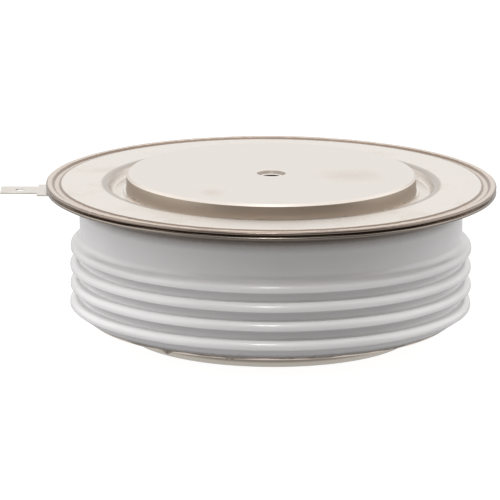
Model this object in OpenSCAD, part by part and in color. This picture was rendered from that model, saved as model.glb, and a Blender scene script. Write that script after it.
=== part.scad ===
// Disc thyristor in a press-pack housing. A ribbed ceramic ring is closed by two
// copper pole pieces on thin flanges, and the silicon wafer is held between them
// by molybdenum discs, with a sprung gate contact in a pocket of the cathode pole.
// Millimetres. Z runs from the anode contact face at 0 up to the cathode contact face.

/* [Overall] */
// Height between the two contact faces
total_h = 26.5; // [26.2:0.1:28]
// Diameter of both pole pieces
pole_d = 47; // [45:0.5:48]
// Diameter of the welded rim
rim_d = 73; // [72:0.2:76]
// Thickness of the flange sheets
sheet_t = 0.5; // [0.4:0.02:0.56]

/* [Poles] */
// Height of the anode pole piece
anode_pole_h = 10.2; // [9:0.1:10.8]
// Bevel round both contact faces
pole_bevel = 0.35; // [0.2:0.05:0.6]
// Diameter of the locating hole in each contact face
locating_hole_d = 3.5; // [3:0.1:4.2]
// Depth of the locating holes
locating_hole_depth = 2; // [1.6:0.1:2.6]
// Diameter of the bevelled mouth of the locating holes
locating_mouth_d = 4.8; // [4.4:0.1:5.4]

/* [Ceramic ring] */
// Height of the ceramic ring
ceramic_h = 19.2; // [18.6:0.1:20]
// Outer diameter of its plain band
band_d = 62.2; // [61.6:0.2:63]
// Inner diameter
bore_d = 55; // [54:0.2:56]
// Number of beads
bead_n = 4; // [2:1:4]
// Distance from bead to bead
bead_pitch = 3.17; // [3:0.05:3.4]
// Radius of a bead's rounded top
bead_r = 1.2; // [1:0.05:1.2]
// Height of a bead's upright face
bead_face_h = 0.15; // [0.1:0.05:0.3]
// Radius of a bead's lower edge
bead_edge_r = 0.3; // [0.2:0.05:0.4]
// Diameter over the beads
bead_crest_d = 65.2; // [64.8:0.1:65.8]
// Radius in the corners of the groove between two beads
hollow_r = 0.25; // [0.15:0.05:0.25]
// Radius of the hollow above the top bead
shoulder_r = 1.4; // [0.6:0.1:1.6]
// Height of the lowest bead's face above the foot of the ring
lowest_bead_up = 2.12; // [1.9:0.02:2.4]
// Slope of the ring from the lowest bead down to its foot
foot_slope = 52; // [45:1:55]
// Outer diameter of the flat foot of the ring
foot_d = 60.6; // [60:0.2:61.2]

/* [Flanges] */
// Height of the anode flange above the anode contact face
anode_drop = 2.75; // [2.4:0.05:3]
// Diameter of the anode flange
anode_flange_d = 59; // [58:0.2:60]
// Width of the weld ring outside the flat that sits on the ceramic ring
rim_overhang = 3.7; // [3.6:0.05:4.2]
// Rise of the weld ring from its flat to the weld
weld_rise = 1.45; // [1.3:0.05:1.7]
// Angle of the rise
weld_rise_angle = 45; // [35:1:55]
// Bend radius of the weld ring, to the middle of the sheet
weld_bend_r = 0.45; // [0.35:0.05:0.6]

/* [Diaphragm] */
// Height of the collar round the cathode pole above the floor of the trough
collar_h = 0.5; // [0.4:0.05:0.8]
// Bend radius between collar and floor, to the middle of the sheet
collar_bend_r = 0.35; // [0.3:0.05:0.5]
// Distance of the outer edge of the trough's flat floor from the cathode pole
trough_floor_w = 2.8; // [2.4:0.1:3]
// Depth of the trough
trough_depth = 1.4; // [1.2:0.05:1.45]
// Angle of the trough's outer wall
trough_angle = 50; // [42:1:60]
// Bend radius of the trough's wall, to the middle of the sheet
trough_bend_r = 0.8; // [0.6:0.05:0.9]

/* [Welded rim] */
// Width of the two lips outside the weld groove
lip_w = 0.9; // [0.7:0.05:1]
// Width of the weld groove at its mouth
groove_w = 1.5; // [1.3:0.05:1.6]
// Depth of the weld groove
groove_depth = 0.25; // [0.15:0.01:0.3]
// Width of each sloping side of the groove
groove_side = 0.45; // [0.3:0.05:0.55]
// How far the two lips outside the weld are splayed apart, each
lip_splay = 0.15; // [0.1:0.01:0.2]

/* [Cathode tab] */
// How far the tab's end sticks out of the rim
tab_out = 7.4; // [6:0.1:9]
// Width of the tab
tab_w = 4.85; // [4:0.1:6]
// Width of the tab's shoulder at the rim
tab_root_w = 7.9; // [7:0.1:9]
// How far the shoulder's end sticks out of the rim
tab_root_out = 1.4; // [1:0.1:2]
// Thickness of the tab
tab_t = 0.25; // [0.2:0.05:0.35]
// Diameter of the hole in the tab
tab_hole_d = 1.6; // [1.2:0.1:2.2]
// Distance of the hole from the tab's end
tab_hole_in = 3.2; // [2.6:0.1:3.6]
// Drop of the tab below the underside of the weld ring's rim
tab_drop = 0.42; // [0.4:0.02:0.5]

/* [Gate lead] */
// Direction of the gate lead round the axis
gate_angle = 160; // [130:1:165]
// Height of the gate tube above the foot of the ceramic ring
gate_tube_up = 16.25; // [15.8:0.05:16.6]
// Outer diameter of the gate tube
gate_tube_d = 1.5; // [1.3:0.1:1.7]
// Wall of the gate tube
gate_tube_wall = 0.25; // [0.2:0.05:0.3]
// Diameter of the gate tube's thicker root in the ceramic ring
gate_root_d = 2.4; // [2.2:0.1:2.6]
// Distance of the gate tube's end from the axis
gate_tube_reach = 35.2; // [34.4:0.1:36]
// Distance of the gate tube's inner end inside the ceramic ring's bore
gate_tube_inside = 0.6; // [0.4:0.1:1]
// Diameter of the gate tube's collar, which is brazed on the band of the ceramic ring
gate_collar_d = 3.2; // [3:0.1:3.6]
// Thickness of the gate tube's collar
gate_collar_t = 0.4; // [0.3:0.05:0.5]
// Length of the solder in the end of the gate tube
seal_length = 1.5; // [1:0.1:2]
// Diameter of the gate wire
wire_d = 0.5; // [0.3:0.1:0.6]
// How far the gate wire sticks out of the tube
wire_stub = 0.4; // [0.2:0.1:0.6]
// Outer diameter of the sleeve on the gate wire
sleeve_d = 1.4; // [1.3:0.1:1.6]
// Width of the slot for the gate wire in the cathode pole
wire_slot_w = 2.6; // [2.4:0.1:3]

/* [Contact stack] */
// Thickness of each silver shim
silver_t = 0.2; // [0.15:0.05:0.3]
// Diameter of the anode molybdenum disc
anode_disc_d = 50; // [49.6:0.2:50.4]
// Thickness of the anode molybdenum disc
anode_disc_t = 2; // [1.6:0.1:2.2]
// Diameter of the silicon wafer at its lower face
wafer_d = 49; // [48.4:0.2:49.2]
// Thickness of the silicon wafer
wafer_t = 0.5; // [0.4:0.05:0.6]
// Width of the bevel on the wafer's edge
wafer_bevel = 0.6; // [0.4:0.1:0.8]
// Diameter of the cathode molybdenum disc
cathode_disc_d = 45.4; // [44:0.2:45.8]
// Thickness of the cathode molybdenum disc
cathode_disc_t = 1.2; // [1:0.1:1.4]
// Thickness of the silicone on the wafer's edge
coating_t = 0.4; // [0.3:0.05:0.5]

/* [Gate contact] */
// Diameter of the pocket for the gate contact in the cathode pole
pocket_d = 7; // [6.6:0.1:7.6]
// Depth of the pocket
pocket_h = 6; // [5.8:0.1:6.4]
// Diameter of the holes in the cathode disc and shim for the gate contact
gate_hole_d = 5.2; // [5:0.1:5.4]
// Wall of the insulating cup
cup_wall = 0.8; // [0.6:0.05:0.9]
// Diameter of the gate pin
pin_d = 1.8; // [1.6:0.1:2]
// Diameter of the pin's collar
pin_collar_d = 4.4; // [4.2:0.1:4.6]
// Thickness of the pin's collar
pin_collar_t = 0.6; // [0.5:0.05:0.8]
// Length of the pin above its collar
pin_tail = 1.2; // [0.8:0.1:1.6]
// Diameter of the spring's wire
spring_wire_d = 0.45; // [0.35:0.05:0.5]
// Turns of the spring
spring_turns = 4.5; // [3:0.5:5]

/* [Fits] */
// Gap between the cup and its pocket, and between the guide and its hole
gate_gap = 0.1; // [0.05:0.05:0.15]
// Gap between the pin and its guide
pin_gap = 0.08; // [0.04:0.02:0.12]
// Gap between the locating ring and what it centres
ring_gap = 0.15; // [0.1:0.05:0.25]
// Gap under the pin's collar, so that the spring's force goes to the wafer
collar_gap = 0.3; // [0.2:0.05:0.4]
// Gap between the pin and the spring, and between the spring and the gate wire
spring_gap = 0.2; // [0.15:0.05:0.25]
// Gap between the sleeve and the slot's roof, and between the sleeve and the cup
sleeve_gap = 0.3; // [0.2:0.05:0.5]

/* [Hidden] */
$fn = 96;

pole_r = pole_d / 2;
rim_r = rim_d / 2;
band_r = band_d / 2;
bore_r = bore_d / 2;
arc_step = 9; // degrees between two points of a rounded outline
over = 1; // how far a cutting shape runs past the face that it opens
eps = 0.01;

// Heights of the stack, each from the one below
anode_shim_z = anode_pole_h;
anode_disc_z = anode_shim_z + silver_t;
wafer_z = anode_disc_z + anode_disc_t;
cathode_disc_z = wafer_z + wafer_t;
cathode_shim_z = cathode_disc_z + cathode_disc_t;
cathode_pole_z = cathode_shim_z + silver_t;

// Heights of the housing, from the anode contact face
ceramic_z = anode_drop + sheet_t;
ceramic_top_z = ceramic_z + ceramic_h;
weld_z = ceramic_top_z + sheet_t + weld_rise; // where the two sheets meet
annulus_z = weld_z + sheet_t; // top of the diaphragm's flat annulus
floor_z = annulus_z - trough_depth; // top of the trough's floor
seat_flat_r = rim_r - rim_overhang;
tab_reach = rim_r + tab_out;

// Gate contact
pin_collar_z = cathode_pole_z + collar_gap;
spring_low = pin_collar_z + pin_collar_t;
spring_high = cathode_pole_z + pocket_h - cup_wall;
spring_mid_r = (pin_d + spring_wire_d) / 2 + spring_gap;

// Gate lead, from the pin's collar up through the pole's slot to the tube
gate_tube_z = ceramic_z + gate_tube_up;
gate_tube_r = gate_tube_d / 2;
gate_bore_r = gate_tube_r - gate_tube_wall;
wire_r = wire_d / 2;
wire_start = spring_mid_r + spring_wire_d / 2 + spring_gap;
wire_start_z = spring_low + wire_r;
wire_rise_from = pocket_d / 2 + sleeve_gap;
wire_rise_to = (pole_r + bore_r) / 2 - gate_tube_inside;
wire_rise_angle = atan2(gate_tube_z - wire_start_z, wire_rise_to - wire_rise_from);
slot_top_z = gate_tube_z + sleeve_d / 2 + sleeve_gap;

// Points of an arc from angle a0 to a1 round [x, y]
function arc(x, y, r, a0, a1) =
    let (n = max(2, ceil(abs(a1 - a0) / arc_step)))
    [for (i = [0:n]) let (a = a0 + (a1 - a0) * i / n) [x + r * cos(a), y + r * sin(a)]];

function reversed(list) = [for (i = [len(list) - 1:-1:0]) list[i]];

// One side of a bent sheet that starts at [x, y] with the heading h. bends lists
// [straight length, bend radius, turn], and side is the offset to the left of the sheet's middle.
function sheet_side(x, y, h, bends, side, i = 0) =
    i == len(bends) ? [[x - side * sin(h), y + side * cos(h)]] :
    let (
        run = bends[i][0], r = bends[i][1], turn = bends[i][2], s = sign(turn),
        bx = x + run * cos(h), by = y + run * sin(h),
        cx = bx - s * r * sin(h), cy = by + s * r * cos(h),
        points = turn == 0 ? [] : arc(cx, cy, r - s * side, h - s * 90, h - s * 90 + turn)
    )
    concat([[x - side * sin(h), y + side * cos(h)]], points,
        sheet_side(turn == 0 ? bx : cx + r * cos(h - s * 90 + turn),
            turn == 0 ? by : cy + r * sin(h - s * 90 + turn), h + turn, bends, side, i + 1));

// Straight length between two equal and opposite bends that gives the rise
function slope_run(rise, r, angle) = (rise - 2 * r * (1 - cos(angle))) / sin(angle);

// A ring of rectangular section
module ring(r_out, r_in, z, h) {
    translate([0, 0, z]) difference() {
        cylinder(r = r_out, h = h);
        translate([0, 0, -over]) cylinder(r = r_in, h = h + 2 * over);
    }
}

// What follows the gate lead's direction, with x outwards
module along_gate() {
    rotate([0, 0, gate_angle]) children();
}

// A cylinder that lies along x
module lying_cylinder(r, x0, x1, z) {
    translate([x0, 0, z]) rotate([0, 90, 0]) cylinder(r = r, h = x1 - x0);
}

// A round wire swept along path
sides = 8; // flat faces round a swept wire
spring_steps = 18; // sections in one turn of the spring
function unit(v) = v / norm(v);
module sweep(path, r) {
    n = len(path);
    tangent = [for (i = [0:n - 1]) unit(path[min(i + 1, n - 1)] - path[max(i - 1, 0)])];
    points = [for (i = [0:n - 1])
        let (side = unit(cross([0, 0, 1], tangent[i])), up = cross(tangent[i], side))
        for (k = [0:sides - 1])
            let (a = 360 * k / sides) path[i] + r * cos(a) * side + r * sin(a) * up];
    walls = [for (i = [0:n - 2], k = [0:sides - 1])
        let (k2 = (k + 1) % sides)
        [i * sides + k, (i + 1) * sides + k, (i + 1) * sides + k2, i * sides + k2]];
    start_cap = [[for (k = [0:sides - 1]) k]];
    end_cap = [[for (k = [sides - 1:-1:0]) (n - 1) * sides + k]];
    polyhedron(points, concat(start_cap, walls, end_cap), convexity = 10);
}

// Ceramic ring: the plain band and its beads, each with a round top and a sharper lower edge,
// and the grooves between them, which are as deep as the band
bead_crest_r = bead_crest_d / 2;
bead_mid_r = bead_crest_r - bead_r;
function bead_z(i) = ceramic_z + lowest_bead_up + i * bead_pitch;
shoulder_angle = acos((band_r + shoulder_r - bead_mid_r) / (bead_r + shoulder_r));

function bead_outline(i) = concat(
    arc(bead_crest_r - bead_edge_r, bead_z(i) - bead_face_h, bead_edge_r, i == 0 ? -foot_slope : -90, 0),
    arc(bead_mid_r, bead_z(i), bead_r, 0, i == bead_n - 1 ? shoulder_angle : 90)
);
function groove_outline(i) = concat(
    arc(band_r + hollow_r, bead_z(i) + bead_r + hollow_r, hollow_r, 270, 180),
    arc(band_r + hollow_r, bead_z(i + 1) - bead_face_h - bead_edge_r - hollow_r, hollow_r, 180, 90)
);

module ceramic_housing() {
    outline = concat(
        [[bore_r, ceramic_z], [foot_d / 2, ceramic_z]],
        [for (i = [0:bead_n - 1])
            each concat(bead_outline(i), i < bead_n - 1 ? groove_outline(i) : [])],
        arc(band_r + shoulder_r, bead_z(bead_n - 1) + (bead_r + shoulder_r) * sin(shoulder_angle),
            shoulder_r, 180 + shoulder_angle, 180),
        [[band_r, ceramic_top_z], [bore_r, ceramic_top_z]]
    );
    color("whitesmoke") difference() {
        rotate_extrude() polygon(outline);
        along_gate() lying_cylinder(gate_root_d / 2, bore_r - over, band_r + over, gate_tube_z);
    }
}

// Locating hole with its bevelled mouth, open towards -z at z = 0
module locating_hole() {
    mouth_h = (locating_mouth_d - locating_hole_d) / 2;
    translate([0, 0, -over]) cylinder(d = locating_hole_d, h = locating_hole_depth + over);
    translate([0, 0, -eps]) cylinder(
        r1 = locating_mouth_d / 2 + eps, r2 = locating_hole_d / 2, h = mouth_h + eps);
}

// Plain pole piece with its bevelled contact face at z = 0
module pole_blank(h) {
    difference() {
        union() {
            cylinder(r1 = pole_r - pole_bevel, r2 = pole_r, h = pole_bevel);
            translate([0, 0, pole_bevel]) cylinder(r = pole_r, h = h - pole_bevel);
        }
        locating_hole();
    }
}

module anode_pole() {
    color("tan") pole_blank(anode_pole_h);
}

module cathode_pole() {
    color("tan") difference() {
        translate([0, 0, total_h]) mirror([0, 0, 1]) pole_blank(total_h - cathode_pole_z);
        translate([0, 0, cathode_pole_z - over]) cylinder(d = pocket_d, h = pocket_h + over);
        along_gate() translate([0, -wire_slot_w / 2, cathode_pole_z - over])
            cube([pole_r + over, wire_slot_w, slot_top_z - cathode_pole_z + over]);
    }
}

module anode_flange() {
    color("silver") ring(anode_flange_d / 2, pole_r, anode_drop, sheet_t);
}

// The splayed lip outside the weld, seen from the weld plane at y = 0. The points run
// outwards along the free side, round the lip's end and back along the weld.
groove_out_r = rim_r - lip_w;
groove_in_r = groove_out_r - groove_w;
lip_end_r = sheet_t / 2;
lip_end_angle = 60; // how far the round end turns under the lip
function lip() = concat(
    [[groove_out_r, sheet_t + lip_splay / 3]],
    arc(rim_r - lip_end_r, sheet_t / 2 + lip_splay, lip_end_r, 90, -lip_end_angle),
    [[groove_out_r - groove_side / 2, 0]]
);
function weld_groove() = [
    [groove_in_r, sheet_t], [groove_in_r + groove_side, sheet_t - groove_depth],
    [groove_out_r - groove_side, sheet_t - groove_depth]
];

// Cathode diaphragm: collar round the pole, trough, flat annulus, and the upper half of the rim
down = -90; // heading of a sheet that starts downwards
module cathode_diaphragm() {
    x0 = pole_r + sheet_t / 2;
    z0 = floor_z + collar_h;
    floor_run = trough_floor_w - sheet_t / 2 - collar_bend_r;
    bends = [
        [collar_h + sheet_t / 2 - collar_bend_r, collar_bend_r, 90],
        [floor_run, trough_bend_r, trough_angle],
        [slope_run(trough_depth, trough_bend_r, trough_angle), trough_bend_r, -trough_angle]
    ];
    upper = sheet_side(x0, z0, down, bends, sheet_t / 2);
    lower = sheet_side(x0, z0, down, bends, -sheet_t / 2);
    rim = [for (p = concat(weld_groove(), lip())) [p[0], weld_z + p[1]]];
    color("gainsboro") rotate_extrude() polygon(concat(upper, rim, reversed(lower)));
}

// Weld ring: flat on the ceramic ring, rising to the lower half of the rim
weld_bends = [
    [seat_flat_r - bore_r, weld_bend_r, weld_rise_angle],
    [slope_run(weld_rise, weld_bend_r, weld_rise_angle), weld_bend_r, -weld_rise_angle]
];
module cathode_weld_ring() {
    z0 = ceramic_top_z + sheet_t / 2;
    upper = sheet_side(bore_r, z0, 0, weld_bends, sheet_t / 2);
    lower = sheet_side(bore_r, z0, 0, weld_bends, -sheet_t / 2);
    rim = [for (p = lip()) [p[0], weld_z - p[1]]];
    color("silver") rotate_extrude() polygon(concat(lower, rim, reversed(upper)));
}

// Cathode tab: a punched strip whose root follows the rise of the weld ring from below.
// The rise is a straight cone between its two bends, and the tab starts just above the first.
tab_foot_up = 0.05;
module cathode_tab() {
    top_z = weld_z - sheet_t - tab_drop;
    bend_r = weld_bend_r + sheet_t / 2;
    foot_x = seat_flat_r + bend_r * sin(weld_rise_angle) + tab_foot_up / tan(weld_rise_angle);
    foot_z = ceramic_top_z + bend_r * (1 - cos(weld_rise_angle)) + tab_foot_up;
    turn_x = foot_x + (top_z - foot_z) / tan(weld_rise_angle);
    end_x = tab_reach + over;
    section = [
        [foot_x, foot_z], [turn_x, top_z], [end_x, top_z], [end_x, top_z - tab_t],
        [turn_x + tab_t * tan(weld_rise_angle / 2), top_z - tab_t],
        [foot_x + tab_t * sin(weld_rise_angle), foot_z - tab_t * cos(weld_rise_angle)]
    ];
    color("gainsboro") difference() {
        intersection() {
            rotate_extrude() polygon(section);
            translate([0, 0, ceramic_z]) linear_extrude(total_h) {
                translate([-rim_r - tab_root_out, -tab_root_w / 2])
                    square([rim_r + tab_root_out, tab_root_w]);
                translate([-tab_reach, -tab_w / 2]) square([tab_reach, tab_w]);
            }
        }
        translate([tab_hole_in - tab_reach, 0, top_z - tab_t - over])
            cylinder(d = tab_hole_d, h = tab_t + 2 * over);
    }
}

// Plastic ring round the anode pole and disc, standing on the anode flange
module locating_ring() {
    outer = bore_r - ring_gap;
    color("white") rotate_extrude() polygon([
        [pole_r + ring_gap, ceramic_z], [outer, ceramic_z], [outer, wafer_z],
        [anode_disc_d / 2 + ring_gap, wafer_z], [anode_disc_d / 2 + ring_gap, anode_disc_z],
        [pole_r + ring_gap, anode_disc_z]
    ]);
}

module anode_silver_shim() {
    color("lightgray") translate([0, 0, anode_shim_z]) cylinder(r = pole_r, h = silver_t);
}

module anode_moly_disc() {
    color("slategray") translate([0, 0, anode_disc_z]) cylinder(d = anode_disc_d, h = anode_disc_t);
}

module silicon_wafer() {
    color("dimgray") translate([0, 0, wafer_z])
        cylinder(r1 = wafer_d / 2, r2 = wafer_d / 2 - wafer_bevel, h = wafer_t);
}

// Silicone that covers the wafer's bevel, from the disc below to the face above
module wafer_edge_coating() {
    edge = wafer_d / 2;
    outer = anode_disc_d / 2;
    color("ivory") rotate_extrude() polygon([
        [edge, wafer_z], [outer, wafer_z], [outer, wafer_z + wafer_t],
        [outer - coating_t, wafer_z + wafer_t + coating_t],
        [edge - wafer_bevel - coating_t / 2, wafer_z + wafer_t + coating_t],
        [edge - wafer_bevel - coating_t, wafer_z + wafer_t], [edge - wafer_bevel, wafer_z + wafer_t]
    ]);
}

module cathode_moly_disc() {
    color("slategray") ring(cathode_disc_d / 2, gate_hole_d / 2, cathode_disc_z, cathode_disc_t);
}

module cathode_silver_shim() {
    color("lightgray") ring(cathode_disc_d / 2, gate_hole_d / 2, cathode_shim_z, silver_t);
}

// Insulating bush on the wafer, round the gate pin
module gate_guide() {
    color("white") ring(gate_hole_d / 2 - gate_gap, pin_d / 2 + pin_gap, cathode_disc_z,
        cathode_pole_z - cathode_disc_z);
}

module gate_pin() {
    color("silver") {
        translate([0, 0, cathode_disc_z])
            cylinder(d = pin_d, h = pin_collar_z + pin_collar_t + pin_tail - cathode_disc_z);
        translate([0, 0, pin_collar_z]) cylinder(d = pin_collar_d, h = pin_collar_t);
    }
}

// Compression spring between the pin's collar and the roof of the cup
module gate_spring() {
    low = spring_low + spring_wire_d / 2;
    rise = spring_high - spring_low - spring_wire_d;
    steps = spring_steps * spring_turns;
    color("darkgray") sweep([for (i = [0:steps]) let (t = i / steps, a = 360 * spring_turns * t)
        [spring_mid_r * cos(a), spring_mid_r * sin(a), low + rise * t]], spring_wire_d / 2);
}

// Insulating cup in the pole's pocket, open below, with a window for the wire
module gate_cup() {
    outer = pocket_d / 2 - gate_gap;
    color("white") difference() {
        translate([0, 0, cathode_pole_z]) cylinder(r = outer, h = pocket_h);
        translate([0, 0, cathode_pole_z - over])
            cylinder(r = outer - cup_wall, h = pocket_h - cup_wall + over);
        along_gate() translate([0, -sleeve_d / 2, cathode_pole_z - over])
            cube([pocket_d, sleeve_d, wire_start_z + wire_d - cathode_pole_z + over]);
    }
}

module gate_wire() {
    color("silver") along_gate() sweep([
        [wire_start, 0, wire_start_z], [wire_rise_from, 0, wire_start_z],
        [wire_rise_to, 0, gate_tube_z], [gate_tube_reach + wire_stub, 0, gate_tube_z]
    ], wire_r);
}

// Sleeve on the sloping stretch of the wire, in the pole's slot
module gate_sleeve() {
    length = (pole_r - wire_rise_from) / cos(wire_rise_angle);
    color("white") along_gate() translate([wire_rise_from, 0, wire_start_z])
        rotate([0, -wire_rise_angle, 0]) difference() {
            lying_cylinder(sleeve_d / 2, sleeve_gap, length - sleeve_gap, 0);
            lying_cylinder(wire_r, 0, length, 0);
        }
}

// Tube through the ceramic ring, with the collar that is brazed on the ring's band
module gate_tube() {
    color("silver") along_gate() difference() {
        union() {
            lying_cylinder(gate_root_d / 2, bore_r - gate_tube_inside, band_r, gate_tube_z);
            lying_cylinder(gate_collar_d / 2, band_r, band_r + gate_collar_t, gate_tube_z);
            lying_cylinder(gate_tube_r, band_r, gate_tube_reach, gate_tube_z);
        }
        lying_cylinder(gate_bore_r, bore_r - gate_tube_inside - over, gate_tube_reach + over, gate_tube_z);
    }
}

// Solder that fills the end of the tube round the wire
module gate_tube_seal() {
    inner_end = gate_tube_reach - seal_length;
    color("gray") along_gate() difference() {
        lying_cylinder(gate_bore_r, inner_end, gate_tube_reach, gate_tube_z);
        lying_cylinder(wire_r, inner_end - over, gate_tube_reach + over, gate_tube_z);
    }
}

ceramic_housing();
anode_pole();
anode_flange();
cathode_pole();
cathode_diaphragm();
cathode_weld_ring();
cathode_tab();
locating_ring();
anode_silver_shim();
anode_moly_disc();
silicon_wafer();
wafer_edge_coating();
cathode_moly_disc();
cathode_silver_shim();
gate_guide();
gate_pin();
gate_spring();
gate_cup();
gate_wire();
gate_sleeve();
gate_tube();
gate_tube_seal();
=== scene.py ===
import math
import bpy
import bmesh
import numpy as np
from mathutils import Matrix, Vector


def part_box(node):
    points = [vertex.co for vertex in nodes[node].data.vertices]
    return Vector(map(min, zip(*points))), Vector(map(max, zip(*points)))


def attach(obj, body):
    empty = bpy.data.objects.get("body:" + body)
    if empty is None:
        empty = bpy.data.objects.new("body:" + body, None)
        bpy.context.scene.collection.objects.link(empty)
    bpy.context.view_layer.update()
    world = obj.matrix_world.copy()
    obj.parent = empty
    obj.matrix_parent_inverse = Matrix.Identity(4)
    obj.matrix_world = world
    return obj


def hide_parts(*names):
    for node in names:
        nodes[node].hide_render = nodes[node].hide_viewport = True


# A disc thyristor on a white table. Sizes are millimetres until a mesh is made.
mm = 0.001
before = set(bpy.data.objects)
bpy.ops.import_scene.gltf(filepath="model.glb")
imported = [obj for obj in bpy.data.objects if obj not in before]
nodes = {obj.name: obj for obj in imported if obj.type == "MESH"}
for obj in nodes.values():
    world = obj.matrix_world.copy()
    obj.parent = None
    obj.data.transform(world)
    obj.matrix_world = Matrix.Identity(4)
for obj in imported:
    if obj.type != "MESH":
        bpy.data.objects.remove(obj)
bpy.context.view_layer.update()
print("frame loaded with", len(nodes), "nodes")


def frameSize(node):
    # radius and the two heights of a round node, in millimetres
    low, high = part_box(node)
    return (high.y - low.y) / 2 / mm, low.z / mm, high.z / mm


poleR = frameSize("anode_pole")[0]
rimR = frameSize("cathode_diaphragm")[0]
ceramicLow, ceramicHigh = frameSize("ceramic_housing")[1:]
flangeR, flangeLow, flangeHigh = frameSize("anode_flange")
sheetT = flangeHigh - flangeLow


# Camera, fitted to the circles of the rim, the pole face and the ceramic ring

cameraSetup = {
    "focalPixels": 5146.6,  # focal length in pixels of the square frame
    "frameWidth": 500,
    "sensor": 36.0,
    "aimHeight": 25.08,  # the rim's upper edge
    "distance": 834.7,  # from the middle of the rim
    "elevation": 12.446,  # degrees, like the three turns below
    "pan": -0.232,
    "tilt": -0.764,
    "roll": 0.385,
    "nearest": 0.01,
    "farthest": 20,
}


def turned(first, second, angle):
    # two square directions turned in their plane, the first one towards the second
    c, s = math.cos(angle), math.sin(angle)
    return first * c + second * s, second * c - first * s


def addCamera(setup):
    elevation, pan, tilt, roll = (math.radians(setup[k]) for k in ("elevation", "pan", "tilt", "roll"))
    right = Vector((1, 0, 0))
    ahead = Vector((0, math.cos(elevation), -math.sin(elevation)))
    up = Vector((0, math.sin(elevation), math.cos(elevation)))
    eye = Vector((0, 0, setup["aimHeight"])) - ahead * setup["distance"]
    ahead, right = turned(ahead, right, pan)
    ahead, up = turned(ahead, up, tilt)
    right, up = turned(right, up, roll)
    data = bpy.data.cameras.new("camera")
    data.sensor_fit = "HORIZONTAL"
    data.sensor_width = setup["sensor"]
    data.lens = setup["focalPixels"] / setup["frameWidth"] * setup["sensor"]
    data.clip_start = setup["nearest"]
    data.clip_end = setup["farthest"]
    camera = bpy.data.objects.new("camera", data)
    turn = Matrix((right, up, -ahead)).transposed().to_4x4()
    camera.matrix_world = Matrix.Translation(eye * mm) @ turn
    bpy.context.scene.collection.objects.link(camera)
    bpy.context.scene.camera = camera


addCamera(cameraSetup)
print("camera placed")


# Shader nodes


class Flow:
    # wraps an output socket, so that shader maths reads as an expression
    def __init__(self, recipe, socket):
        self.recipe = recipe
        self.socket = socket

    def __add__(self, other):
        return self.recipe.maths("ADD", self, other)

    __radd__ = __add__

    def __sub__(self, other):
        return self.recipe.maths("SUBTRACT", self, other)

    def __rsub__(self, other):
        return self.recipe.maths("SUBTRACT", other, self)

    def __mul__(self, other):
        return self.recipe.maths("MULTIPLY", self, other)

    __rmul__ = __mul__

    def __truediv__(self, other):
        return self.recipe.maths("DIVIDE", self, other)

    def __pow__(self, other):
        return self.recipe.maths("POWER", self, other)


class Recipe:
    # builds one node tree, of a material or of the world
    def __init__(self, tree):
        self.tree = tree
        self.tree.nodes.clear()

    def add(self, kind, settings=None, inputs=None, out=0):
        node = self.tree.nodes.new(kind)
        for name, value in (settings or {}).items():
            setattr(node, name, value)
        for name, value in (inputs or {}).items():
            if isinstance(value, Flow):
                self.tree.links.new(value.socket, node.inputs[name])
            else:
                node.inputs[name].default_value = value
        return Flow(self, node.outputs[out] if len(node.outputs) else None)

    def maths(self, operation, first, second=0.0):
        return self.add("ShaderNodeMath", {"operation": operation}, {0: first, 1: second})

    def step(self, value, low, high):
        # smooth rise from 0 at low to 1 at high
        settings = {"interpolation_type": "SMOOTHSTEP"}
        return self.add("ShaderNodeMapRange", settings, {0: value, 1: low, 2: high})

    def band(self, value, rise, fall):
        # 1 between the two stretches in which it rises and falls, 0 outside them
        return self.step(value, *rise) * (1 - self.step(value, *fall))

    def mix(self, factor, first, second):
        first, second = (c if isinstance(c, Flow) else (*c, 1.0) for c in (first, second))
        return self.add("ShaderNodeMix", {"data_type": "RGBA"}, {0: factor, 6: first, 7: second}, 2)

    def point(self):
        # place on the object in millimetres, with x, y, z and the distance from the axis
        place = self.add("ShaderNodeTexCoord", out="Object")
        place = self.add("ShaderNodeVectorMath", {"operation": "SCALE"}, {0: place, 3: 1 / mm})
        self.place = place
        self.x, self.y, self.z = (self.add("ShaderNodeSeparateXYZ", None, {0: place}, i) for i in range(3))
        self.radius = (self.x * self.x + self.y * self.y) ** 0.5
        self.angle = self.maths("ARCTAN2", self.y, self.x)

    def noise(self, scale, detail=3.0, rough=0.5, where=None):
        # scale is the number of lumps in a millimetre
        inputs = {"Vector": where or self.place, "Scale": scale, "Detail": detail, "Roughness": rough}
        return self.add("ShaderNodeTexNoise", None, inputs)

    def vector(self, x, y, z):
        return self.add("ShaderNodeCombineXYZ", None, {0: x, 1: y, 2: z})

    def bump(self, height, depth):
        # depth is the real height of the relief in millimetres where height runs from 0 to 1
        return self.add("ShaderNodeBump", None, {"Height": height, "Distance": depth * mm, "Strength": 1.0})


def addMaterial(name, surface):
    # surface(recipe) hands back what goes into the shader's sockets
    material = bpy.data.materials.new(name)
    material.use_nodes = True
    recipe = Recipe(material.node_tree)
    recipe.point()
    shader = recipe.add("ShaderNodeBsdfPrincipled", None, surface(recipe))
    recipe.add("ShaderNodeOutputMaterial", None, {"Surface": shader})
    return material


# Finishes. A pair of radii or heights is the stretch over which a colour sets in, or ends where it says to.

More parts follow.
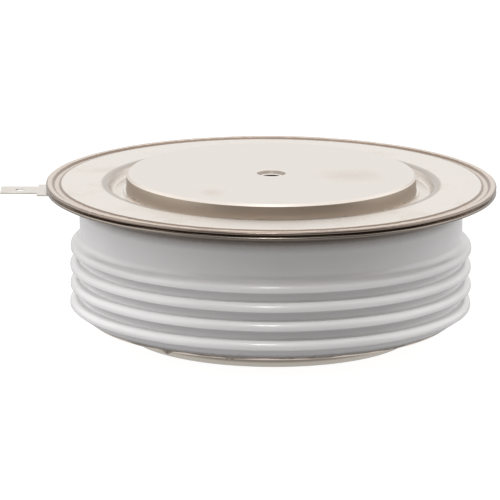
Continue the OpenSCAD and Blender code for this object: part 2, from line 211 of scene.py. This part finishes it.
nickelLook = {
    "colour": (0.80, 0.745, 0.69),
    "smudgeColour": (0.62, 0.52, 0.43),
    "wallShade": (0.45, 0.386, 0.325),
    "bevelShade": (0.70, 0.64, 0.58),
    "footLightAndTint": (0.85, 0.80, 0.72),
    "underFlangeShadow": (0.43, 0.385, 0.33),
    "mouthShade": (0.33, 0.285, 0.245),
    "boreShadow": (0.10, 0.08, 0.065),
    "roughness": 0.24,
    "wallRoughness": 0.42,
    "turningDepth": 0.0004,
    "smudges": ((-9.7, -15.0, 2.4, 3.6), (12.7, -1.4, 6.5, 5.0)),  # x, y and half sizes
    "smudgeEdge": (0.7, 2.0),  # in half sizes
    "upperHalf": (20, 21),
    "wallR": (poleR - 0.2, poleR - 0.1),
    "wallTo": (26.1, 26.2),
    "bevelR": (poleR - 0.37, poleR - 0.3),
    "mouthR": (1.8, 1.9),
    "mouthToR": (2.25, 2.42),
    "boreToR": (1.76, 1.84),
    "boreTo": (25.45, 25.65),
    "footTo": (2.7, 2.8),
    "cornerFrom": (0.6, 1.0),
    "cornerTo": (2.8, 3.0),
}


def turnedNickel(r):
    # satin plate with faint rings from the lathe and warm smudges on the faces; painted shade on the rougher
    # side wall, the bevel and the hole, painted light on the foot and painted shadow under the foot flange
    look = nickelLook
    unevenRings = r.noise(2.2, 3.0, 0.6, r.vector(r.radius, 0.0, r.z))
    cloudy = r.noise(0.5, 3.0, 0.5)
    cloud = r.noise(0.11, 4.0, 0.55)
    smudge = r.step(cloud, 0.56, 0.80) * 0.15
    for x, y, halfX, halfY in look["smudges"]:
        across, along = (r.x - x) / halfX, (r.y - y) / halfY
        away = (across * across + along * along) ** 0.5 + cloud * 1.6
        smudge = smudge + (1 - r.step(away, *look["smudgeEdge"]))
    speck = r.step(r.noise(1.6, 3.0, 0.7), 0.70, 0.76)
    wall = r.step(r.radius, *look["wallR"]) * r.band(r.z, look["upperHalf"], look["wallTo"])
    mouth = r.band(r.radius, look["mouthR"], look["mouthToR"])
    bore = (1 - r.step(r.radius, *look["boreToR"])) * r.band(r.z, look["upperHalf"], look["boreTo"])
    colour = r.mix(smudge * 0.45, look["colour"], look["smudgeColour"])
    colour = r.mix(speck * 0.35, colour, look["smudgeColour"])
    # painted shade: the bevel is darkened to dim its reflection of the overhead light
    colour = r.mix(r.step(r.radius, *look["bevelR"]), colour, look["bevelShade"])
    # painted shade: the side wall is made darker than the face, standing in for the dark surroundings it
    # reflects
    colour = r.mix(wall, colour, look["wallShade"])
    # painted light: the pole below the foot flange is made lighter, standing in for the bright table it
    # reflects
    colour = r.mix(1 - r.step(r.z, *look["footTo"]), colour, look["footLightAndTint"])
    # painted shadow: the pole wall just under the foot flange is darkened
    colour = r.mix(r.band(r.z, look["cornerFrom"], look["cornerTo"]), colour, look["underFlangeShadow"])
    # painted shade in the hole: its mouth is darkened, and its bore is made almost black as painted shadow
    colour = r.mix(mouth, colour, look["mouthShade"])
    colour = r.mix(bore, colour, look["boreShadow"])
    roughness = look["roughness"] + wall * (look["wallRoughness"] - look["roughness"])
    return {
        "Base Color": colour,
        "Metallic": 1.0,
        "Roughness": roughness + smudge * 0.04 + unevenRings * 0.03,
        "Normal": r.bump(unevenRings + cloudy * 2, look["turningDepth"]),
    }


sheetLook = {
    "colour": (0.83, 0.775, 0.715),
    "shade": (0.62, 0.53, 0.45),
    "footLightAndTint": (0.95, 0.825, 0.73),
    "rimTint": (0.70, 0.59, 0.51),
    "lowerLipShade": (0.24, 0.208, 0.18),
    "seamAndGapShade": (0.24, 0.19, 0.16),
    "grooveWallShade": (0.26, 0.19, 0.145),  # painted shade on the two walls of the weld groove
    "grooveWalls": ((34.05, 34.42), (35.1, 35.55)),
    "underside": (0.15, 0.122, 0.10),
    "slopeShade": (0.50, 0.445, 0.40),
    "lipEdgeShade": (0.16, 0.12, 0.097),
    "roughness": 0.22,
    "peel": 0.0012,
    "topFrom": (24.5, 24.56),
    "rimTintR": (33.9, 34.2),
    "grooveWallEdge": 0.08,
    "footTo": (3.4, 3.6),
    "undersideR": (32.0, 32.6),
    "undersideTo": (24.1, 24.25),
    "slopeR": (25.7, 26.2),
    "slopeToR": (27.2, 27.8),
    "slopeFrom": (23.5, 23.7),
    "lipR": (rimR - 0.30, rimR - 0.12),
    "jointR": (rimR - 1.0, rimR - 0.8),
    "jointFrom": (24.3, 24.36),
    "jointTo": (24.44, 24.5),
}


def pressedSheet(r):
    # nickel plated sheet: faint orange peel and drawing marks; painted shade on the groove walls, the trough
    # slope, the lip edges, the underside and the gap at the weld, and the foot made lighter with painted
    # light
    look = sheetLook
    peel = r.noise(1.1, 3.0, 0.6)
    cloud = r.step(r.noise(0.16, 4.0, 0.6), 0.52, 0.74)
    drawn = r.noise(2.4, 2.0, 0.5, r.vector(r.radius * 3.0, r.angle * 4.0, 0.0))
    colour = r.mix(cloud * 0.28, look["colour"], look["shade"])
    uneven = r.radius + r.noise(0.8, 3.0, 0.6) * 0.24 - 0.12
    onTop = r.step(r.z, *look["topFrom"])
    colour = r.mix(r.step(uneven, *look["rimTintR"]) * onTop * 0.9, colour, look["rimTint"])
    edge = look["grooveWallEdge"]
    # painted shade on the two walls of the weld groove
    for low, high in look["grooveWalls"]:
        grooveWallMask = r.band(uneven, (low - edge, low + edge), (high - edge, high + edge)) * onTop
        colour = r.mix(grooveWallMask * 0.9, colour, look["grooveWallShade"])
    # pinker tint of the foot flange, made lighter as well with painted light
    colour = r.mix(1 - r.step(r.z, *look["footTo"]), colour, look["footLightAndTint"])
    # painted shade on the underside of the lower sheet's rim
    below = r.step(r.radius, *look["undersideR"]) * (1 - r.step(r.z, *look["undersideTo"]))
    colour = r.mix(below, colour, look["underside"])
    slope = r.band(r.radius, look["slopeR"], look["slopeToR"]) * r.step(r.z, *look["slopeFrom"])
    colour = r.mix(slope, colour, look["slopeShade"])
    lip = r.step(uneven, *look["lipR"])
    # painted shade on the outer edges of the lips
    colour = r.mix(lip * 0.85, colour, look["lipEdgeShade"])
    # painted shade on the lower lip's edge, a little lighter than on the upper lip
    colour = r.mix(lip * below, colour, look["lowerLipShade"])
    # dark weld seam between the lips, deepened with painted shadow of the gap between them
    seamAndGapShade = r.step(r.radius, *look["jointR"]) * r.band(r.z, look["jointFrom"], look["jointTo"])
    colour = r.mix(seamAndGapShade, colour, look["seamAndGapShade"])
    return {
        "Base Color": colour,
        "Metallic": 1.0,
        "Roughness": look["roughness"] + cloud * 0.08 + drawn * 0.06,
        "Normal": r.bump(peel + drawn * 0.4, look["peel"]),
    }


glazeLook = {
    "colour": (0.89, 0.876, 0.876),
    "shade": (0.855, 0.84, 0.838),
    "pinhole": (0.52, 0.50, 0.47),
    "grooveShade": (0.76, 0.75, 0.754),
    "grooves": (3.27, 6.34, 9.41),  # above the foot
    "grooveRise": 0.9,
    "grooveTo": (1.6, 1.75),  # above where it sets in
    "brazeStain": (0.20, 0.168, 0.145),
    "topStainAndShadowFrom": (20.2, 22.05),
    "topEdgeFrom": (21.5, 22.0),
    "footStainAndShadeTo": (3.55, 4.4),
    "roughness": 0.12,
    "peel": 0.006,
}


def whiteGlaze(r):
    # glazed alumina: long soft waves in the glaze, a few pinholes, painted shade in the grooves, and a darker
    # brown next to the braze at the top and the foot that is braze stain together with painted shadow under
    # the rim and painted shade on the foot slope
    look = glazeLook
    waves = r.noise(0.22, 2.0, 0.5)
    fine = r.noise(1.3, 2.0, 0.5)
    cloud = r.noise(0.09, 3.0, 0.5)
    pinhole = r.step(r.noise(2.2, 1.0, 0.4), 0.80, 0.84)
    colour = r.mix(r.step(cloud, 0.4, 0.7) * 0.5, look["colour"], look["shade"])
    colour = r.mix(pinhole * 0.4, colour, look["pinhole"])
    foot = r.z + fine * 0.5
    top = r.z + fine * 0.2
    # braze stain below the rim, darkened further with painted shadow of the rim overhang
    topStainAndShadow = r.step(top, *look["topStainAndShadowFrom"]) * 0.7 + r.step(top, *look["topEdgeFrom"]) * 0.25
    colour = r.mix(topStainAndShadow, colour, look["brazeStain"])
    # braze stain at the foot, with painted shade on the downward facing foot slope
    colour = r.mix((1 - r.step(foot, *look["footStainAndShadeTo"])) * 0.7, colour, look["brazeStain"])
    for up in look["grooves"]:
        low = ceramicLow + up
        start, end = look["grooveTo"]
        groove = r.band(r.z, (low, low + look["grooveRise"]), (low + start, low + end))
        colour = r.mix(groove, colour, look["grooveShade"])
    return {
        "Base Color": colour,
        "Roughness": look["roughness"] + fine * 0.06,
        "IOR": 1.52,
        "Normal": r.bump(waves + fine * 0.15 - pinhole * 0.4, look["peel"]),
    }


solderLook = {"dark": (0.27, 0.23, 0.195), "light": (0.46, 0.41, 0.365), "roughness": 0.38, "lump": 0.03}
tagLook = {"colour": (0.78, 0.73, 0.68), "shade": (0.62, 0.56, 0.50), "roughness": 0.22, "lines": 0.002}


def solderMetal(r):
    # dull grey solder and braze
    look = solderLook
    lump = r.noise(1.5, 4.0, 0.6)
    return {
        "Base Color": r.mix(r.step(lump, 0.35, 0.65), look["dark"], look["light"]),
        "Metallic": 1.0,
        "Roughness": look["roughness"] + lump * 0.2,
        "Normal": r.bump(lump, look["lump"]),
    }


def tinnedTag(r):
    # bright tinned sheet with rolling lines along the tag
    look = tagLook
    lines = r.noise(1.6, 3.0, 0.6, r.vector(r.x * 0.15, r.y * 4.0, r.z))
    cloud = r.noise(0.5, 3.0, 0.5)
    return {
        "Base Color": r.mix(r.step(cloud, 0.45, 0.7) * 0.4, look["colour"], look["shade"]),
        "Metallic": 1.0,
        "Roughness": look["roughness"] + lines * 0.12,
        "Normal": r.bump(lines, look["lines"]),
    }


def mottled(colour, roughness, grain, metallic, darkening, relief):
    # a plain finish with soft darker patches, grain of them to the millimetre
    def surface(r):
        mottle = r.noise(grain, 3.0, 0.6)
        darker = tuple(c * darkening for c in colour)
        return {
            "Base Color": r.mix(r.step(mottle, 0.4, 0.7), colour, darker),
            "Metallic": metallic,
            "Roughness": roughness + mottle * 0.1,
            "Normal": r.bump(mottle, relief),
        }

    return surface


def plainMetal(colour, roughness, grain):
    return mottled(colour, roughness, grain, 1.0, 0.8, 0.001)


def plainMoulding(colour, roughness, grain):
    return mottled(colour, roughness, grain, 0.0, 0.86, 0.004)


waferLook = {
    "colour": (0.20, 0.21, 0.25),
    "fingerColour": (0.62, 0.63, 0.66),
    "fingersRound": 48.0,
    "fingersOut": 2.2,  # radians to the millimetre
    "fingersR": (3.2, 3.6),
}


def waferFace(r):
    # polished wafer with the fine fingers of its gate pattern round the middle
    look = waferLook
    fingers = r.maths("SINE", r.angle * look["fingersRound"]) * r.maths("SINE", r.radius * look["fingersOut"])
    pattern = r.step(fingers, 0.1, 0.2) * r.step(r.radius, *look["fingersR"])
    mottle = r.noise(0.8, 3.0, 0.5)
    return {
        "Base Color": r.mix(pattern, look["colour"], look["fingerColour"]),
        "Metallic": 1.0,
        "Roughness": 0.12 + mottle * 0.08,
        "Normal": r.bump(mottle, 0.0005),
    }


finishes = {
    "turnedNickel": addMaterial("turnedNickel", turnedNickel),
    "pressedSheet": addMaterial("pressedSheet", pressedSheet),
    "whiteGlaze": addMaterial("whiteGlaze", whiteGlaze),
    "solder": addMaterial("solder", solderMetal),
    "tinnedTag": addMaterial("tinnedTag", tinnedTag),
    "molybdenum": addMaterial("molybdenum", plainMetal((0.48, 0.49, 0.51), 0.32, 1.2)),
    "silver": addMaterial("silver", plainMetal((0.88, 0.87, 0.84), 0.22, 1.6)),
    "springSteel": addMaterial("springSteel", plainMetal((0.50, 0.51, 0.53), 0.30, 3.0)),
    "silicon": addMaterial("silicon", waferFace),
    "filledPlastic": addMaterial("filledPlastic", plainMoulding((0.88, 0.87, 0.84), 0.45, 0.9)),
    "silicone": addMaterial("silicone", plainMoulding((0.84, 0.79, 0.70), 0.35, 1.4)),
}
innerFinish = {
    "locating_ring": "filledPlastic",
    "anode_silver_shim": "silver",
    "anode_moly_disc": "molybdenum",
    "silicon_wafer": "silicon",
    "wafer_edge_coating": "silicone",
    "cathode_moly_disc": "molybdenum",
    "cathode_silver_shim": "silver",
    "gate_guide": "filledPlastic",
    "gate_pin": "silver",
    "gate_spring": "springSteel",
    "gate_cup": "filledPlastic",
    "gate_sleeve": "filledPlastic",
}
for node, finish in innerFinish.items():
    nodes[node].data.materials.clear()
    nodes[node].data.materials.append(finishes[finish])
print("finishes made:", len(finishes))


# Surfaces


def arc(x, y, radius, start, stop, stepAngle=6.0):
    # points on a circle of that radius round x, y, from one angle to the other in degrees
    turns = np.radians(np.linspace(start, stop, max(3, int(abs(stop - start) / stepAngle) + 2)))
    return np.stack([x + radius * np.cos(turns), y + radius * np.sin(turns)], 1)


def bentSheet(x, y, heading, bends, offset):
    # one side of a bent sheet: bends are (straight run, bend radius, turn),
    # and offset is the distance of this side to the left of the sheet's middle
    points = []
    for run, radius, turn in bends:
        h = math.radians(heading)
        side = math.copysign(1.0, turn)
        points.append([[x - offset * math.sin(h), y + offset * math.cos(h)]])
        x, y = x + run * math.cos(h), y + run * math.sin(h)
        middleX, middleY = x - side * radius * math.sin(h), y + side * radius * math.cos(h)
        first = heading - side * 90
        points.append(arc(middleX, middleY, radius - side * offset, first, first + turn))
        last = math.radians(first + turn)
        x, y = middleX + radius * math.cos(last), middleY + radius * math.sin(last)
        heading += turn
    return np.concatenate(points)


def slopeRun(rise, radius, angle):
    # straight stretch between two equal and opposite bends that makes up the rise
    a = math.radians(angle)
    return (rise - 2 * radius * (1 - math.cos(a))) / math.sin(a)


def spaced(profile, longest):
    # adds points to the profile's long edges, so that dents and waves have something to move
    points = [profile[:1]]
    for first, second in zip(profile, np.roll(profile, -1, 0)):
        count = max(1, int(np.hypot(*(second - first)) / longest))
        points.append(first + (second - first) * np.linspace(0, 1, count + 1)[1:, None])
    return np.concatenate(points)[:-1]


def lathe(name, profile, segments, finish, warp=None, sharp=32):
    # point (angle, j) = (radius_j cos angle, radius_j sin angle, height_j), closed both ways;
    # profile runs anticlockwise with the radius to the right and the height up
    angles = np.linspace(0, 2 * math.pi, segments, endpoint=False)[:, None]
    radius = np.repeat(profile[None, :, 0], segments, 0)
    height = np.repeat(profile[None, :, 1], segments, 0)
    if warp:
        radius, height = warp(angles, radius, height)
    points = np.stack([radius * np.cos(angles), radius * np.sin(angles), height], -1) * mm
    across = len(profile)
    i, j = np.meshgrid(np.arange(segments), np.arange(across), indexing="ij")
    nextI, nextJ = (i + 1) % segments, (j + 1) % across
    quads = np.stack([i * across + j, nextI * across + j, nextI * across + nextJ, i * across + nextJ], -1)
    return addMesh(name, points.reshape(-1, 3), quads.reshape(-1, 4), finish, sharp)


def addMesh(name, points, quads, finish, sharp):
    mesh = bpy.data.meshes.new(name)
    mesh.vertices.add(len(points))
    mesh.vertices.foreach_set("co", points.ravel())
    mesh.loops.add(quads.size)
    mesh.loops.foreach_set("vertex_index", quads.ravel().astype(np.int32))
    mesh.polygons.add(len(quads))
    mesh.polygons.foreach_set("loop_start", np.arange(0, quads.size, 4, dtype=np.int32))
    mesh.update(calc_edges=True)
    mesh.validate()
    return finishPiece(name, mesh, finish, sharp)


def finishPiece(name, mesh, finish, sharp):
    mesh.shade_smooth()
    mesh.set_sharp_from_angle(angle=math.radians(sharp))
    mesh.materials.clear()
    mesh.materials.append(finishes[finish])
    piece = bpy.data.objects.new(name, mesh)
    bpy.context.scene.collection.objects.link(piece)
    return piece


def smoothCopy(node, name, finish, sharp=32):
    # the solid's own shape, joined and smooth shaded
    work = bmesh.new()
    work.from_mesh(nodes[node].data)
    bmesh.ops.remove_doubles(work, verts=work.verts, dist=1e-7)
    mesh = bpy.data.meshes.new(name)
    mesh.from_pydata([v.co for v in work.verts], [], [[v.index for v in f.verts] for f in work.faces])
    work.free()
    return finishPiece(name, mesh, finish, sharp)


def softEdges(piece, width):
    # rounds the sharp edges of a copied solid
    bevel = piece.modifiers.new("edges", "BEVEL")
    bevel.width = width * mm
    bevel.segments = 2
    bevel.limit_method = "ANGLE"
    bevel.angle_limit = math.radians(40)


def place(piece, node, slot):
    # the piece stands for a node of the frame
    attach(piece, "root")
    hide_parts(node)


def trim(piece):
    # the piece stands for no node, such as braze
    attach(piece, "root")


def bell(angles, centre, width):
    # smooth bump of height 1 at an angle, both in degrees
    away = (np.degrees(angles) - centre + 180) % 360 - 180
    return np.exp(-((away / width) ** 2))


# Ceramic ring

ceramic = {
    "bandR": 31.1,
    "boreR": 27.5,
    "footR": 30.3,
    "beads": 4,
    "crestR": 32.6,
    "beadR": 1.1,
    "faceH": 0.15,
    "beadEdgeR": 0.3,
    "pitch": 3.07,
    "lowest": 2.07,  # the lowest bead's face above the foot
    "footSlope": 52,
    "hollowR": 0.25,
    "shoulderR": 1.4,
    "edgeR": 0.25,
    "wobble": 0.03,
    "arcStep": 9,  # degrees between two points of a bead's section
    "cornerStep": 20,
    "spacing": 0.9,
    "segments": 400,
}
gateHole = {"radius": 1.2, "length": 10, "middleR": 29.3, "sides": 48}


def ceramicProfile(c):
    # plain band, beads with a round top and a sharper lower edge, grooves as deep as the band, flat foot
    middle = c["crestR"] - c["beadR"]
    grooveX = c["bandR"] + c["hollowR"]
    reach = c["beadR"] + c["shoulderR"]
    shoulderTurn = math.degrees(math.acos((c["bandR"] + c["shoulderR"] - middle) / reach))
    edge = c["edgeR"]
    parts = [
        [[c["boreR"], ceramicLow]],
        arc(c["footR"] - edge, ceramicLow + edge, edge, -90, -20),
    ]
    for i in range(c["beads"]):
        z = ceramicLow + c["lowest"] + i * c["pitch"]
        last = i == c["beads"] - 1
        lowStart = -c["footSlope"] if i == 0 else -90
        lowEdge = c["beadEdgeR"]
        parts.append(arc(c["crestR"] - lowEdge, z - c["faceH"], lowEdge, lowStart, 0, c["arcStep"]))
        parts.append(arc(middle, z, c["beadR"], 0, shoulderTurn if last else 90, c["arcStep"]))
        if not last:
            above = z + c["pitch"] - c["faceH"] - c["beadEdgeR"] - c["hollowR"]
            parts.append(arc(grooveX, z + c["beadR"] + c["hollowR"], c["hollowR"], 270, 180, c["cornerStep"]))
            parts.append(arc(grooveX, above, c["hollowR"], 180, 90, c["cornerStep"]))
    x = c["bandR"] + c["shoulderR"]
    z += reach * math.sin(math.radians(shoulderTurn))
    parts.append(arc(x, z, c["shoulderR"], 180 + shoulderTurn, 180))
    parts.append(arc(c["bandR"] - edge, ceramicHigh - edge, edge, 0, 90))
    parts.append([[c["boreR"], ceramicHigh]])
    return np.concatenate(parts)


def ceramicWarp(angles, radius, height):
    # slight unevenness of the fired ring: slow waves round it that differ from bead to bead
    outer = np.clip((radius - ceramic["bandR"] + 0.5) / 1.5, 0, 1)
    wave = np.sin(5 * angles + height * 0.9) + 0.6 * np.sin(11 * angles - height * 1.7)
    return radius + ceramic["wobble"] * wave * outer, height


def cutGateHole(piece, h):
    # the hole that the gate tube passes through
    low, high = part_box("gate_tube")
    middle = (low + high) / 2
    heading = math.atan2(middle.y, middle.x)
    bpy.ops.mesh.primitive_cylinder_add(vertices=h["sides"], radius=h["radius"] * mm, depth=h["length"] * mm)
    cutter = bpy.context.object
    turn = Matrix.Rotation(heading, 4, "Z") @ Matrix.Translation((h["middleR"] * mm, 0, middle.z))
    cutter.data.transform(turn @ Matrix.Rotation(math.pi / 2, 4, "Y"))
    cut = piece.modifiers.new("gate hole", "BOOLEAN")
    cut.object = cutter
    cut.operation = "DIFFERENCE"
    cut.solver = "EXACT"
    shape = bpy.data.meshes.new_from_object(piece.evaluated_get(bpy.context.evaluated_depsgraph_get()))
    piece.modifiers.clear()
    piece.data = shape
    bpy.data.objects.remove(cutter)


ringSection = spaced(ceramicProfile(ceramic), ceramic["spacing"])
ceramicRing = lathe("ceramicRing", ringSection, ceramic["segments"], "whiteGlaze", ceramicWarp)
cutGateHole(ceramicRing, gateHole)
place(ceramicRing, "ceramic_housing", "ceramic")
print("ceramic ring made")


# Sheet flanges and the welded rim

rim = {
    "weldZ": 24.4,
    "lipW": 0.9,
    "grooveW": 1.5,
    "grooveDepth": 0.25,
    "grooveSide": 0.45,
    "splay": 0.15,
    "lipWave": 0.03,
    "droop": 0.13,
    "tagSpan": (180, 9),  # middle and half width in degrees
    "nicks": (  # angle, width in degrees and depth
        (217.9, 0.22, 0.10), (222.3, 0.25, 0.13), (262.0, 0.2, 0.05), (301.0, 0.25, 0.06),
    ),
    "segments": 600,
}
lid = {
    "collarH": 0.32,
    "collarBend": 0.35,
    "floorW": 2.0,
    "troughDepth": 1.4,
    "troughBend": 0.6,
    "troughAngle": 60,
    "spacing": 1.0,
}
weldRing = {"overhang": 3.7, "rise": 1.45, "bend": 0.45, "angle": 45, "spacing": 0.8}
footSheet = {"edge": 0.08, "segments": 360}


def lipProfile(r):
    # splayed lip from the weld plane at 0: free side outwards, round end, back along the weld
    outR = rimR - r["lipW"]
    endR = sheetT / 2
    free = [[outR, sheetT + r["splay"] / 3]]
    end = arc(rimR - endR, endR + r["splay"], endR, 90, -60)
    return np.concatenate([free, end, [[outR - r["grooveSide"] / 2, 0]]])


def grooveProfile(r):
    # weld groove with its sloping sides and rounded corners
    outR = rimR - r["lipW"]
    inR = outR - r["grooveW"]
    low = sheetT - r["grooveDepth"]
    return np.array([
        [inR - 0.08, sheetT], [inR + 0.06, sheetT - 0.03], [inR + r["grooveSide"] - 0.08, low + 0.03],
        [inR + r["grooveSide"] + 0.06, low], [outR - r["grooveSide"] - 0.06, low],
        [outR - r["grooveSide"] + 0.08, low + 0.03],
    ])


def rimWarp(angles, radius, height):
    # the lips' edges droop and wave slightly, except where the tag is welded on, and carry a few nicks
    out = np.clip((radius - (rimR - rim["lipW"])) / rim["lipW"], 0, 1)
    wave = np.sin(9 * angles + 1) * 0.5 + np.sin(23 * angles) * 0.3 + np.sin(4 * angles + 2) * 0.6
    free = 1 - np.clip(bell(angles, *rim["tagSpan"]) * 1.5, 0, 1)
    height = height + (rim["lipWave"] * wave * out - rim["droop"] * out ** 2) * free
    upper = height > rim["weldZ"]
    for centre, width, depth in rim["nicks"]:
        height = height - depth * bell(angles, centre, width) * out ** 3 * upper
        radius = radius - 0.6 * depth * bell(angles, centre, width) * out ** 3 * upper
    return radius, height


def lidProfile(s):
    # collar up the pole, trough, annulus, weld groove and lip
    annulusZ = rim["weldZ"] + sheetT
    floorZ = annulusZ - s["troughDepth"]
    bends = [
        (s["collarH"] + sheetT / 2 - s["collarBend"], s["collarBend"], 90),
        (s["floorW"] - sheetT / 2 - s["collarBend"], s["troughBend"], s["troughAngle"]),
        (slopeRun(s["troughDepth"], s["troughBend"], s["troughAngle"]), s["troughBend"], -s["troughAngle"]),
    ]
    start = (poleR + sheetT / 2, floorZ + s["collarH"], -90)
    upper = bentSheet(*start, bends, sheetT / 2)
    lower = bentSheet(*start, bends, -sheetT / 2)
    edge = np.concatenate([grooveProfile(rim), lipProfile(rim)]) + [0, rim["weldZ"]]
    return np.concatenate([upper, edge, lower[::-1]])[::-1]


def weldRingProfile(s):
    # flat seat on the ceramic ring, rise and lip
    z = ceramicHigh + sheetT / 2
    bends = [
        (rimR - s["overhang"] - ceramic["boreR"], s["bend"], s["angle"]),
        (slopeRun(s["rise"], s["bend"], s["angle"]), s["bend"], -s["angle"]),
    ]
    upper = bentSheet(ceramic["boreR"], z, 0, bends, sheetT / 2)
    lower = bentSheet(ceramic["boreR"], z, 0, bends, -sheetT / 2)
    edge = lipProfile(rim) * [1, -1] + [0, rim["weldZ"]]
    return np.concatenate([lower, edge, upper[::-1]])


lidSection = spaced(lidProfile(lid), lid["spacing"])
lidSheet = lathe("lidSheet", lidSection, rim["segments"], "pressedSheet", rimWarp)
place(lidSheet, "cathode_diaphragm", "flange_sheet")
lowerSection = spaced(weldRingProfile(weldRing), weldRing["spacing"])
lowerSheet = lathe("lowerSheet", lowerSection, rim["segments"], "pressedSheet", rimWarp)
place(lowerSheet, "cathode_weld_ring", "flange_sheet")


def flangeProfile(f):
    # flat ring with rounded outer edges
    edge = f["edge"]
    return np.concatenate([
        [[poleR, flangeLow]],
        arc(flangeR - edge, flangeLow + edge, edge, -90, 0, 30),
        arc(flangeR - edge, flangeHigh - edge, edge, 0, 90, 30),
        [[poleR, flangeHigh]],
    ])


footFlange = lathe("footFlange", flangeProfile(footSheet), footSheet["segments"], "pressedSheet")
place(footFlange, "anode_flange", "flange_sheet")
print("sheets made")


# Pole pieces, tag, gate tube and wire keep the solids' own shapes

for node, name, finish, slot, edge in (
    ("anode_pole", "lowerPole", "turnedNickel", "nickel_plate", 0),
    ("cathode_pole", "upperPole", "turnedNickel", "nickel_plate", 0),
    ("cathode_tab", "sideTag", "tinnedTag", "tab_sheet", 0.05),
    ("gate_tube", "gateTube", "tinnedTag", "tab_sheet", 0.06),
    ("gate_tube_seal", "gateTubeSeal", "solder", "solder", 0),
    ("gate_wire", "gateWire", "silver", "silver_contact", 0),
):
    piece = smoothCopy(node, name, finish)
    if edge:
        softEdges(piece, edge)
    place(piece, node, slot)
print("poles, tag and gate lead made")


# Braze and solder along the joints

joints = {
    "foot": {
        "r": 29.5, "z": 3.25, "size": 0.34, "toR": 1, "toZ": -1,
        "blobs": ((236.5, 1.4, 0.5), (257.5, 1.0, 0.35)),  # angle, width in degrees and drop
    },
    "seat": {
        "r": 31.1, "z": 22.45, "size": 0.28, "toR": 1, "toZ": -1,
        "blobs": ((225.3, 0.5, 0.8), (318.0, 0.8, 0.3)),
    },
    "collar": {
        "r": 23.5, "z": 23.82, "size": 0.1, "toR": 1, "toZ": 1,
        "blobs": ((300.0, 2.0, 0.2),),
    },
}
jointSegments = 720


def jointFillet(name, j):
    # hollow fillet in a corner: a quarter circle of the corner's size that swells at its blobs
    turn = np.radians(np.linspace(0, 90, 7))
    curve = np.stack([1 - np.sin(turn), 1 - np.cos(turn)], 1)
    loop = np.concatenate([[[-0.2, -0.2]], curve]) * [j["toR"], j["toZ"]]
    if j["toR"] * j["toZ"] < 0:
        loop = loop[::-1]

    def swell(angles, radius, height):
        size = j["size"] * (1 + 0.18 * np.sin(13 * angles) + 0.12 * np.sin(29 * angles + 1))
        drip = sum(extra * bell(angles, centre, width) for centre, width, extra in j["blobs"])
        return j["r"] + radius * (size + 0.3 * drip), j["z"] + height * (size + drip)

    return lathe(name, loop, jointSegments, "solder", swell, 60)


for name, j in joints.items():
    trim(jointFillet(name + "Joint", j))
print("joints made")


# Table, backdrop and light

studio = {
    "tableSize": 6.0,  # metres, like the places of the lamps
    "tableColour": (0.23, 0.23, 0.235),
    "tableBounce": 0.13,  # the lit table, as the object sees it
    "tableGlint": 0.3,  # and what its reflection adds
    "shadowColour": (0.22, 0.22, 0.22),
    "tableGlow": 0.93,
    "backColour": (0.95, 0.945, 0.935),
    "sideColour": (1.7, 1.7, 1.7),
    "overheadColour": (1.25, 1.25, 1.25),
    "frontColour": (0.19, 0.178, 0.168),  # the open front of the tent, where the room is darker
    "sideFrom": (0.45, 0.85),  # how far a direction leans that way where a colour sets in
    "overheadFrom": (0.74, 0.86),
    "frontFrom": (0.15, 0.75),
    "frontTurn": 0.2,  # the opening is turned a little to the right
    "topLamp": {"power": 0.55, "size": 0.085, "at": (-0.018, -0.318, 0.51)},
    "softLamp": {"power": 0.25, "size": 0.3, "at": (0.0, -0.33, 0.53)},
}


def addTable(s):
    bpy.ops.mesh.primitive_plane_add(size=s["tableSize"])
    table = bpy.context.object
    table.name = "table"
    material = bpy.data.materials.new("tableWhite")
    material.use_nodes = True
    r = Recipe(material.node_tree)
    seen = r.add("ShaderNodeLightPath", out="Is Camera Ray")
    lit = r.add("ShaderNodeBsdfDiffuse", None, {"Color": (*s["tableColour"], 1)})
    mirrored = r.add("ShaderNodeLightPath", out="Is Glossy Ray")
    bounce = r.add("ShaderNodeEmission", None, {"Strength": s["tableBounce"] + mirrored * s["tableGlint"]})
    lit = r.add("ShaderNodeAddShader", None, {0: lit, 1: bounce})
    faint = r.add("ShaderNodeBsdfDiffuse", None, {"Color": (*s["shadowColour"], 1)})
    glow = r.add("ShaderNodeEmission", None, {"Strength": s["tableGlow"]})
    shown = r.add("ShaderNodeAddShader", None, {0: faint, 1: glow})
    shader = r.add("ShaderNodeMixShader", None, {0: seen, 1: lit, 2: shown})
    r.add("ShaderNodeOutputMaterial", None, {"Surface": shader})
    table.data.materials.append(material)


def addTent(s):
    # white at the back, brighter at the sides and overhead, with an open darker front
    world = bpy.data.worlds.new("tent")
    bpy.context.scene.world = world
    world.use_nodes = True
    r = Recipe(world.node_tree)
    way = r.add("ShaderNodeTexCoord", out="Generated")
    x, y, z = (r.add("ShaderNodeSeparateXYZ", None, {0: way}, i) for i in range(3))
    seen = r.add("ShaderNodeLightPath", out="Is Camera Ray")
    colour = r.mix(r.step(r.maths("ABSOLUTE", x), *s["sideFrom"]), s["backColour"], s["sideColour"])
    colour = r.mix(r.step(x * s["frontTurn"] - y, *s["frontFrom"]), colour, s["frontColour"])
    colour = r.mix(r.step(z, *s["overheadFrom"]), colour, s["overheadColour"])
    colour = r.mix(seen, colour, (1.0, 1.0, 1.0))
    background = r.add("ShaderNodeBackground", None, {"Color": colour, "Strength": 1.0})
    r.add("ShaderNodeOutputWorld", None, {"Surface": background})


def addLamp(name, lamp):
    data = bpy.data.lights.new(name, "AREA")
    data.energy = lamp["power"]
    data.size = lamp["size"]
    light = bpy.data.objects.new(name, data)
    light.location = lamp["at"]
    light.rotation_euler = (-Vector(lamp["at"])).to_track_quat("-Z", "Y").to_euler()
    bpy.context.scene.collection.objects.link(light)


addTable(studio)
addTent(studio)
addLamp("topLamp", studio["topLamp"])
addLamp("softLamp", studio["softLamp"])
bpy.context.scene.view_settings.view_transform = "Standard"
print("studio set")

print("scene finished")
